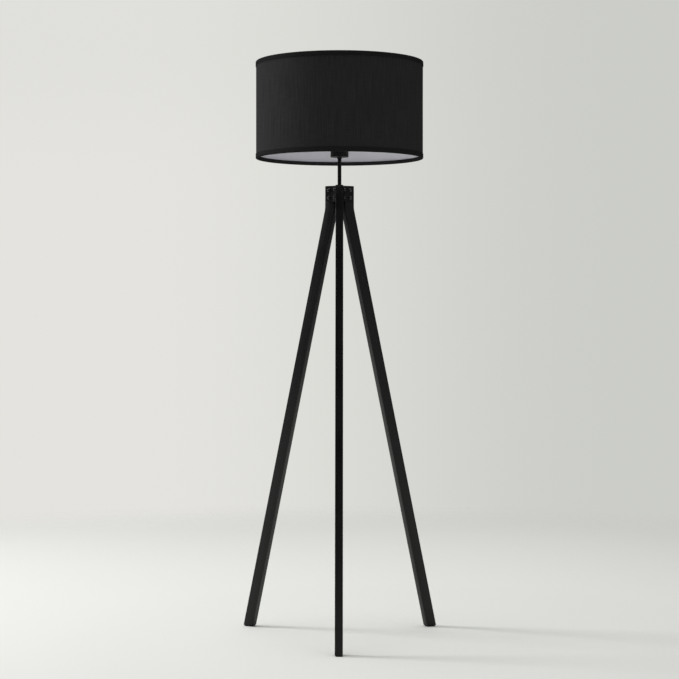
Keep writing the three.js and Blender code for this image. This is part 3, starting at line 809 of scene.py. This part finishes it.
def addContacts(look):
    radius, low, high = turnedSize("holder_insert")
    seat, depth, edge = look["seat"], look["seatDepth"], look["edge"]
    corners = [(0, low), (radius, low), (radius, high), (seat + depth, high), (seat, high - depth), (0, high - depth)]
    outline = eased(corners, edge)
    addPiece("holderInsert", [spin(outline, 96)], "white_plastic", ["holder_insert"])
    radius, low, high = turnedSize("shell_contact")
    inside, outside = radius - look["shellWall"], radius - look["shellEdge"]
    below, above = look["shellThread"]
    crest = inside - lampThread["depth"]
    ridges = thread(inside, crest, lampThread["pitch"], low + below, high - above, 96, rounded=True)
    shell = spin([(inside, low), (outside, low), (outside, high), (inside, high)], 96)
    addPiece("shellContact", [shell, ridges], "nickel", ["shell_contact"])
    radius, low, high = turnedSize("centre_contact")
    narrow, lower, upper, tip = look["tongue"]
    corners = [(0, low), (radius * narrow, low), (radius, low + lower),
               (radius, high - upper), (radius * tip, high), (0, high)]
    addPiece("centreContact", [spin(eased(corners, edge), 48)], "brass", ["centre_contact"])


terminalScrew = {
    "shank": 0.6, "head": 0.0016, "edge": 0.0003, "slot": 0.0008, "slotHalf": 0.0003, "sides": 72,
    "rings": (0.9, 0.7, 0.5, 0.3, 0.18),  # shares of the radius, close enough to shape the slot
}


def addTerminalScrew(name, node, look):
    radius, low, high = turnedSize(node)
    shank, seat, bottom = radius * look["shank"], high - look["head"], high - look["slot"]
    rings = [(0, low), (shank, low), (shank, seat), (radius, seat), (radius, high - look["edge"])]
    for share in look["rings"]:
        def face(angle, share=share):  # the head's face, cut by the slot
            inSlot = abs(radius * share * math.sin(angle)) < look["slotHalf"]
            return radius * share, bottom if inSlot else high
        rings.append(face)
    rings.append((0, bottom))
    place = Matrix.Translation((sum(v.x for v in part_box(node)) / 2 - axis.x, 0, 0))
    addPiece(name, [spin(rings, look["sides"], closed=False)], "brass", [node], place)


shadeRing = {
    "bore": 0.0203, "boreEdge": 0.0005, "flange": 0.002, "flangeEdge": 0.0006, "fillet": (0.0008, 0.0005),  # out, up
    "hub": 0.0235, "ribs": 24, "ribDepth": 0.0009, "ribSharpness": 0.6, "ribStart": 0.001, "ribStop": 0.0008,
    "endShare": 0.9, "endHeight": 0.0003, "endEdge": 0.0012, "sides": 288,
}


def addShadeRing(look):
    radius, low, high = turnedSize("shade_ring")
    top, edge, hubRadius = low + look["flange"], look["flangeEdge"], look["hub"]
    bore, bevel = look["bore"], look["boreEdge"]
    out, up = look["fillet"]

    def ribbed(height, share=1.0):  # scalloped grip
        def ring(angle):
            wave = max(0, math.cos(angle * look["ribs"])) ** look["ribSharpness"]
            return hubRadius - look["ribDepth"] * wave * share, height
        return ring

    grip = [ribbed(top + look["ribStart"]), ribbed(high - look["ribStop"]),
            ribbed(high - look["endHeight"], look["endShare"])]
    rings = [(bore, low), (radius - edge, low), (radius, low + edge), (radius, top - edge), (radius - edge, top),
             (hubRadius + out, top), (hubRadius, top + up), *grip,
             (hubRadius - look["endEdge"], high), (bore + bevel, high), (bore, high - bevel)]
    addPiece("shadeRing", [spin(rings, look["sides"])], "black_plastic", ["shade_ring"])


addCup(cup)
addHolderBase(holderBase)
addHolderSkirt(holderSkirt)
addContacts(contacts)
addTerminalScrew("leftTerminalScrew", "terminal_screw_left", terminalScrew)
addTerminalScrew("rightTerminalScrew", "terminal_screw_right", terminalScrew)
addShadeRing(shadeRing)
print("cup, lampholder and ring")

# Bulb

bulbCap = {
    "tip": (0.55, 0.85, 0.0004, 0.001),  # shares of its radius at the bottom and a little up, then two heights
    "insulatorFoot": 0.0046, "insulatorRim": 0.0004, "insulatorEdge": 0.0006,
    "foot": (0.0022, 0.0012, 0.0008),  # how far in at the bottom and a little up, then that height
    "wall": 0.0008, "floor": 0.0016,
    "thread": (0.0012, 0.0005),  # where it starts above the lower end and stops below the upper one
}


def addBulbCap(look):
    radius, low, high = turnedSize("bulb_tip_contact")
    narrow, wide, lower, upper = look["tip"]
    outline = [(0, low), (radius * narrow, low), (radius * wide, low + lower),
               (radius, low + upper), (radius, high), (0, high)]
    addPiece("bulbTip", [spin(outline, 48)], "brass", ["bulb_tip_contact"])
    radius, low, high = turnedSize("bulb_insulator")
    corners = [(0, low), (look["insulatorFoot"], low), (radius, high - look["insulatorRim"]), (radius, high), (0, high)]
    addPiece("bulbInsulator", [spin(eased(corners, look["insulatorEdge"]), 72)], "black_plastic", ["bulb_insulator"])
    radius, low, high = turnedSize("bulb_screw_cap")
    root, floor = radius - lampThread["depth"], low + look["floor"]
    inside, (footIn, footOut, footHeight), (below, above) = root - look["wall"], look["foot"], look["thread"]
    outline = [(0, low), (radius - footIn, low), (radius - footOut, low + footHeight), (root, floor), (root, high),
               (inside, high), (inside, floor), (0, floor)]
    ridges = thread(root, radius, lampThread["pitch"], low + below, high - above, 96, rounded=True)
    addPiece("bulbCap", [spin(outline, 96), ridges], "nickel", ["bulb_screw_cap"])


bulbBody = {
    "neckHeight": 0.005, "neckRadius": 0.0146, "neckEdge": 0.0006, "wall": 0.0016, "swell": 0.00112, "lean": 0.00048,
    "flankSteps": 14, "rimEdge": (0.0003, 0.0004), "globeRim": 0.001, "globeWall": 0.001, "domeSteps": 32, "sides": 128,
}


def addBulbBody(look):
    radius, low, high = turnedSize("bulb_housing")
    neck, edge, shoulder = look["neckRadius"], look["neckEdge"], low + look["neckHeight"]
    flank = []
    for k in range(look["flankSteps"] + 1):
        t = k / look["flankSteps"]
        swell = look["swell"] * math.sin(math.pi * t) + look["lean"] * math.sin(2 * math.pi * t)
        flank.append((neck + (radius - neck) * t + swell, shoulder + (high - shoulder) * t))
    inside = [(r - look["wall"], z) for r, z in reversed(flank)]
    inwards, down = look["rimEdge"]
    rings = [(0, low), (neck - edge, low), (neck, low + edge), *flank[:-1],
             (radius, high - down), (radius - inwards, high), *inside, (0, shoulder)]
    addPiece("bulbHousing", [spin(rings, look["sides"])], "white_plastic", ["bulb_housing"], crease=40)
    radius, low, high = turnedSize("bulb_globe")
    bulge = math.acos((radius - look["globeRim"]) / radius)
    steps = look["domeSteps"]

    def dome(shrink):  # from the rim, past the widest place, to the top
        out = []
        for k in range(steps + 1):
            angle = -bulge + (math.pi / 2 + bulge) * k / steps
            share = (math.sin(angle) + math.sin(bulge)) / (1 + math.sin(bulge))
            out.append(((radius - shrink) * math.cos(angle) if k < steps else 0, low + (high - low - shrink) * share))
        return out

    globe = spin([*dome(look["globeWall"])[::-1], *dome(0)], look["sides"])
    addPiece("bulbGlobe", [globe], "opal_glass", ["bulb_globe"])


addBulbCap(bulbCap)
addBulbBody(bulbBody)
print("bulb")

# Shade

shade = {
    "clothThickness": 0.0006, "linerThickness": 0.0004, "linerStep": 0.0004, "edgeGap": 0.0006, "overlap": 0.012,
    "lapEase": 0.35, "unevenness": 0.00012, "unevenAround": 3, "unevenUp": 9, "columns": 384, "rows": 40,
}


def wrapped(radius, low, high, step, look):
    # a sheet rolled into a drum whose end laps over its start at the back; step is how far the end stands off
    lap = look["overlap"] / radius
    ease = look["lapEase"] * lap
    columns, rows, wide = look["columns"], look["rows"], look["unevenAround"]
    points = []
    for i in range(columns + 1):
        turn = (2 * math.pi + lap) * i / columns
        lifted = min(1, max(0, (turn - (2 * math.pi - ease)) / ease))
        lifted = lifted * lifted * (3 - 2 * lifted)
        angle = math.pi / 2 - lap / 2 + turn
        for j in range(rows + 1):
            height = low + (high - low) * j / rows
            where = (math.cos(turn) * wide, math.sin(turn) * wide, height * look["unevenUp"])
            r = radius + step * lifted + look["unevenness"] * noise.noise(where)
            points.append((r * math.cos(angle), r * math.sin(angle), height))
    corners = [i * (rows + 1) + j for i in range(columns) for j in range(rows)]
    return points, [[k, k + rows + 1, k + rows + 2, k + 1] for k in corners]


def solidify(piece, thickness):
    modifier = piece.modifiers.new("thickness", "SOLIDIFY")
    modifier.thickness = thickness
    modifier.offset = 0


hemBand = {
    "thickness": 0.0006, "edge": 0.00012, "outside": 0.012, "inside": 0.0098, "depth": 0.0028, "fold": 0.0024,
    "sides": 384,
}


def hemShape(look, edge, inwards):
    # the band runs down the outside, folds round the wire and comes up the inside
    half, fold = look["thickness"] / 2, look["fold"]
    outer, inner = turnedSize("hem_bottom")[0] - half, turnedSize("shade_top_wire")[0] - look["depth"] - half
    corners = [(outer, edge + inwards * look["outside"]), (outer, edge + inwards * half),
               (inner, edge + inwards * half), (inner, edge + inwards * look["inside"])]
    band = ribbon(eased(corners, [0, fold, fold, 0], 8), look["thickness"])
    return spin(eased(band, look["edge"], 2), look["sides"])


def addShade(look):
    radius, low, high = turnedSize("shade_fabric")
    low, high, thickness = low + look["edgeGap"], high - look["edgeGap"], look["clothThickness"]
    drum = wrapped(radius - thickness, low, high, thickness, look)
    cloth = addPiece("shadeCloth", [drum], "shade_fabric", ["shade_fabric"])
    solidify(cloth, thickness)
    radius = turnedSize("shade_liner")[0] - look["linerThickness"] / 2
    drum = wrapped(radius, low, high, -look["linerStep"], look)
    liner = addPiece("shadeLiner", [drum], "shade_liner", ["shade_liner"])
    solidify(liner, look["linerThickness"])
    hems = []
    for name, node, inwards in (("lowerHem", "hem_bottom", 1), ("upperHem", "hem_top", -1)):
        band = hemShape(hemBand, turnedSize(node)[1 if inwards > 0 else 2], inwards)
        # the bands' darker cloth is partly painted shade, for the turn-in inside the rim
        hems.append(addPiece(name, [band], "shade_fabric", [node], finish="shade_hem", crease=50))
    return cloth, liner, hems


frameWire = {
    "radius": 0.00125, "sides": 16, "ringSides": 288, "spokes": 3, "spokeSides": 14, "bend": 0.016, "drop": 0.0002,
    "fitter": 0.0015, "fitterRadius": 0.029, "fitterBore": 0.0206, "fitterEdge": 0.0005, "spokeEnd": 0.0262,
    "footWeld": (0.0016, 0.0024, 0.0016), "footWeldAt": 0.0006, "fitterWeld": (0.0024, 0.0019, 0.00125),
    "fitterWeldAt": 0.0285, "bandGap": 0.00017,
}


def wireCircle(radius, height, look):
    turns = [2 * math.pi * k / look["sides"] for k in range(look["sides"])]
    section = [(radius + look["radius"] * math.cos(a), height + look["radius"] * math.sin(a)) for a in turns]
    return spin(section, look["ringSides"])


def weld(middle, size):  # a bead over a joint
    slices = [(math.cos(a), math.sin(a)) for a in [math.pi * (k / 8 - 0.5) for k in range(1, 8)]]
    bead = spin([(0, -1), *slices, (0, 1)], 20, closed=False)
    return moved(bead, Matrix.Translation(middle) @ Matrix.Diagonal((*size, 1)))


def spokePath(look, circle, foot, level):
    # up from the lower ring, a soft bend, and level to the fitter
    bend, end = look["bend"], look["spokeEnd"]
    path = [at(circle, foot), at(circle, level - bend * 1.25)]
    start, corner, stop = at(circle, level - bend), at(circle, level), at(circle - bend, level)
    path += [softTurn(start, corner, stop, k / 12) for k in range(13)]
    inwards = [circle * (1 - k / 6) + end * k / 6 for k in range(1, 7)]
    return path + [at(r, level) for r in inwards if r < circle - bend]


def addWires(look):
    reach, _, high = turnedSize("shade_top_wire")
    circle = reach - look["radius"]
    top = addPiece("shadeTopWire", [wireCircle(circle, high - look["radius"], look)], "white_wire", ["shade_top_wire"])
    spiderLow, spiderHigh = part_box("shade_spider")
    foot, fitterTop = spiderLow.z + look["radius"] + look["bandGap"], spiderHigh.z
    level = fitterTop - look["radius"] - look["drop"]
    bore, rim, under = look["fitterBore"], look["fitterRadius"], fitterTop - look["fitter"]
    fitter = eased([(bore, under), (rim, under), (rim, fitterTop), (bore, fitterTop)], look["fitterEdge"])
    shapes = [wireCircle(circle, foot, look), spin(fitter, 128)]
    spoke = sweep(spokePath(look, circle, foot, level), look["radius"], look["spokeSides"])
    footWeld = weld((circle, 0, foot + look["footWeldAt"]), look["footWeld"])
    fitterWeld = weld((look["fitterWeldAt"], 0, level), look["fitterWeld"])
    for k in range(look["spokes"]):
        turned = Matrix.Rotation(math.radians(90 + 360 * k / look["spokes"]), 4, "Z")
        shapes += [moved(shape, turned) for shape in (spoke, footWeld, fitterWeld)]
    spider = addPiece("shadeSpider", shapes, "white_wire", ["shade_spider"], crease=45)
    return top, spider


shadeCloth, shadeLiner, hems = addShade(shade)
topWire, spider = addWires(frameWire)
print("shade")

# Floor, backdrop and light

# The floor's colour gets lighter from left to right. This is painted light on its right side, standing in for light
# that the lamps don't give there. Its clouds are random tone.
floorLook = {
    "left": (0.796, 0.802, 0.768), "right": (0.828, 0.835, 0.793), "turnsFrom": -1.3, "turnsTo": 1.5,
    "clouds": 3, "cloudShare": 0.1, "roughness": 0.75, "gloss": 0.2,
    "radius": 3.5, "rings": 14, "sides": 96, "fadeStart": 2.1, "fadeEnd": 3.3,
}


def addFloor(look):
    rings = [(look["radius"] * k / look["rings"], 0) for k in range(look["rings"], -1, -1)]
    points, faces = spin(rings, look["sides"], closed=False)
    mesh = bpy.data.meshes.new("floor")
    mesh.from_pydata(points, [], faces)
    floor = bpy.data.objects.new("floor", mesh)
    scene.collection.objects.link(floor)
    made, w = newMaterial("paleFloor", {"Roughness": look["roughness"], "Specular IOR Level": look["gloss"]})
    place = w.node("ShaderNodeTexCoord", output="Object")
    clouds = place.cloud(look["clouds"], 3, 0.5)
    # painted light: the colour gets lighter towards the floor's right side
    across = w.node("ShaderNodeSeparateXYZ", inputs={"Vector": place}).ramp(look["turnsFrom"], look["turnsTo"])
    wire(made, Base_Color=(across + clouds * look["cloudShare"]).tint(look["left"], look["right"]))
    reach = w.node("ShaderNodeVectorMath", {"operation": "LENGTH"}, {0: place}, "Value")
    far = reach.ramp(look["fadeStart"], look["fadeEnd"])
    below = w.node("ShaderNodeNewGeometry", output="Backfacing")  # seen from under it, the floor is left out
    tree = made.node_tree
    shader = Wire(tree, tree.nodes["Principled BSDF"].outputs["BSDF"])
    clear = w.node("ShaderNodeBsdfTransparent")
    mixed = w.node("ShaderNodeMixShader", None, {0: w.maths("MAXIMUM", far, below), 1: shader, 2: clear})
    tree.links.new(mixed.socket, tree.nodes["Material Output"].inputs["Surface"])
    mesh.materials.append(made)


# The camera sees the backdrop. The lamp is lit by a grey room with brighter parts, and mirrors it.
backdropLook = {
    "left": (0.776, 0.768, 0.738), "right": (0.602, 0.611, 0.58), "turnsFrom": -0.12, "turnsTo": 0.15,
    "upperLeft": 0.16, "upperFrom": 0.07, "upperTo": 0.15,
}
room = {"base": 0.04, "left": 0.3, "frontRight": 0.38, "backRight": 0.1, "back": 0.06, "ceiling": 0.55, "floor": 0.25}


def addWorld(seen, look):
    world = bpy.data.worlds.new("studio")
    world.use_nodes = True
    scene.world = world
    w = Wire(world.node_tree)
    xyz = w.node("ShaderNodeSeparateXYZ", inputs={"Vector": w.node("ShaderNodeTexCoord", output="Generated")})
    x, y, z = xyz.out("X"), xyz.out("Y"), xyz.out("Z")
    side = x.ramp(seen["turnsFrom"], seen["turnsTo"])
    upper = z.ramp(seen["upperFrom"], seen["upperTo"]) * (1 - side) * seen["upperLeft"]
    backdrop = (side + upper).tint(seen["left"], seen["right"])
    cos30, sin30 = 0.866, 0.5
    left = (y * 0.3 - x).ramp(0.6, 1.04) * look["left"]
    backRight = (x * cos30 + y * sin30).ramp(0.88, 0.98) * look["backRight"]
    frontRight = (x * cos30 - y * sin30).ramp(0.84, 0.98) * look["frontRight"]  # the legs' right sides mirror this
    walls = look["base"] + left + frontRight + backRight + y.ramp(0, 1) * look["back"]
    light = walls + z.ramp(0.4, 1) * look["ceiling"] + z.ramp(0, -0.3) * look["floor"]
    cameraRay = w.node("ShaderNodeLightPath", output="Is Camera Ray")
    colour = cameraRay.between(light.tint((0, 0, 0), (1, 1, 1)), backdrop)
    world.node_tree.links.new(colour.socket, world.node_tree.nodes["Background"].inputs["Color"])


lights = {
    "keyLeft": {"at": (-4.1, 0.95, 2.9), "size": 1.4, "power": 118, "aim": (0, 0, 0.9)},
    "top": {"at": (-0.5, 0.2, 5.0), "size": 3.4, "power": 112, "aim": (-0.3, 0, 0)},
}


def addLight(name, look):
    lamp = bpy.data.lights.new(name, "AREA")
    lamp.shape = "DISK"
    lamp.size = look["size"]
    lamp.energy = look["power"]
    light = bpy.data.objects.new(name, lamp)
    scene.collection.objects.link(light)
    light.location = look["at"]
    light.rotation_euler = (Vector(look["aim"]) - Vector(look["at"])).to_track_quat("-Z", "Y").to_euler()
    light.visible_camera = False


addFloor(floorLook)
addWorld(backdropLook, room)
for name, look in lights.items():
    addLight(name, look)
print("studio")
